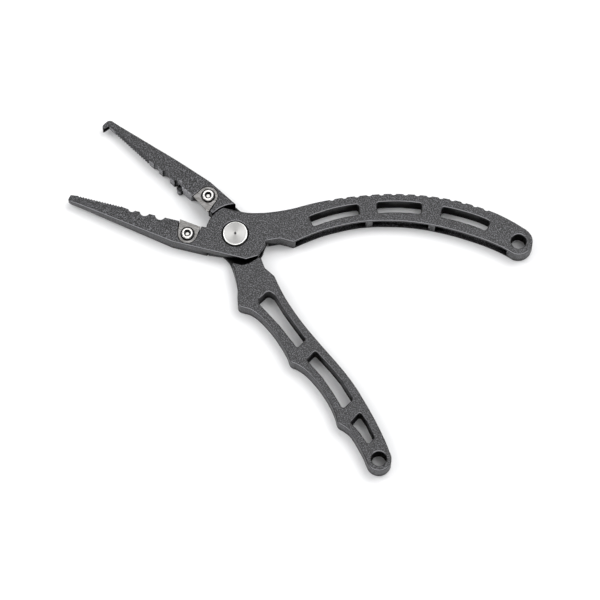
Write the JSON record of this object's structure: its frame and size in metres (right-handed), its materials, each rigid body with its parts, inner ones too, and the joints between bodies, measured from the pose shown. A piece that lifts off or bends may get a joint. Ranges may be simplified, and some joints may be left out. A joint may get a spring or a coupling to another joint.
{
  "type": "fishing pliers",
  "caption": "Hand pliers with two skeletonised curved levers lapped at a pivot, toothed needle jaws, a split-ring hook, crimping notches, screwed-on side cutters and an opening spring.",
  "frame": {"origin": "on the pivot axis, at the flat underside of the tool and of the pivot nut", "axes": "X along the thumb lever's jaw line, with the jaw tips towards -X and the handles towards +X; Y across the jaws, with the thumb lever's handle towards +Y; Z is the pivot axis, towards the bolt's round head"},
  "size_m": [0.1789, 0.1122, 0.0102],
  "materials": {
    "anodised": "dark grey textured hard coat",
    "cutter_steel": "warm grey ground steel",
    "screw_steel": "bright screw",
    "bolt_steel": "turned bright face",
    "washer": "slippery plastic washer",
    "bronze": "bronze washer",
    "spring_steel": "spring wire"
  },
  "bodies": {
    "thumb_side": {"thumb_lever": "anodised", "thumb_side_cutter": "cutter_steel", "thumb_side_screw": "screw_steel", "pivot_bolt": "bolt_steel", "pivot_nut": "screw_steel", "nut_washer": "bronze", "return_spring": "spring_steel"},
    "finger_side": {"finger_lever": "anodised", "finger_side_cutter": "cutter_steel", "finger_side_screw": "screw_steel", "hub_washer": "washer"}
  },
  "joints": [
    {"name": "pivot", "type": "hinge", "parent": "thumb_side", "child": "finger_side", "pos_m": [0, 0, 0.0045], "axis": [0, 0, 1], "range_deg": [0, 27.2], "stiffness_Nm_per_rad": 0.058, "springref_deg": -40.11, "deforming": ["return_spring"]}
  ]
}
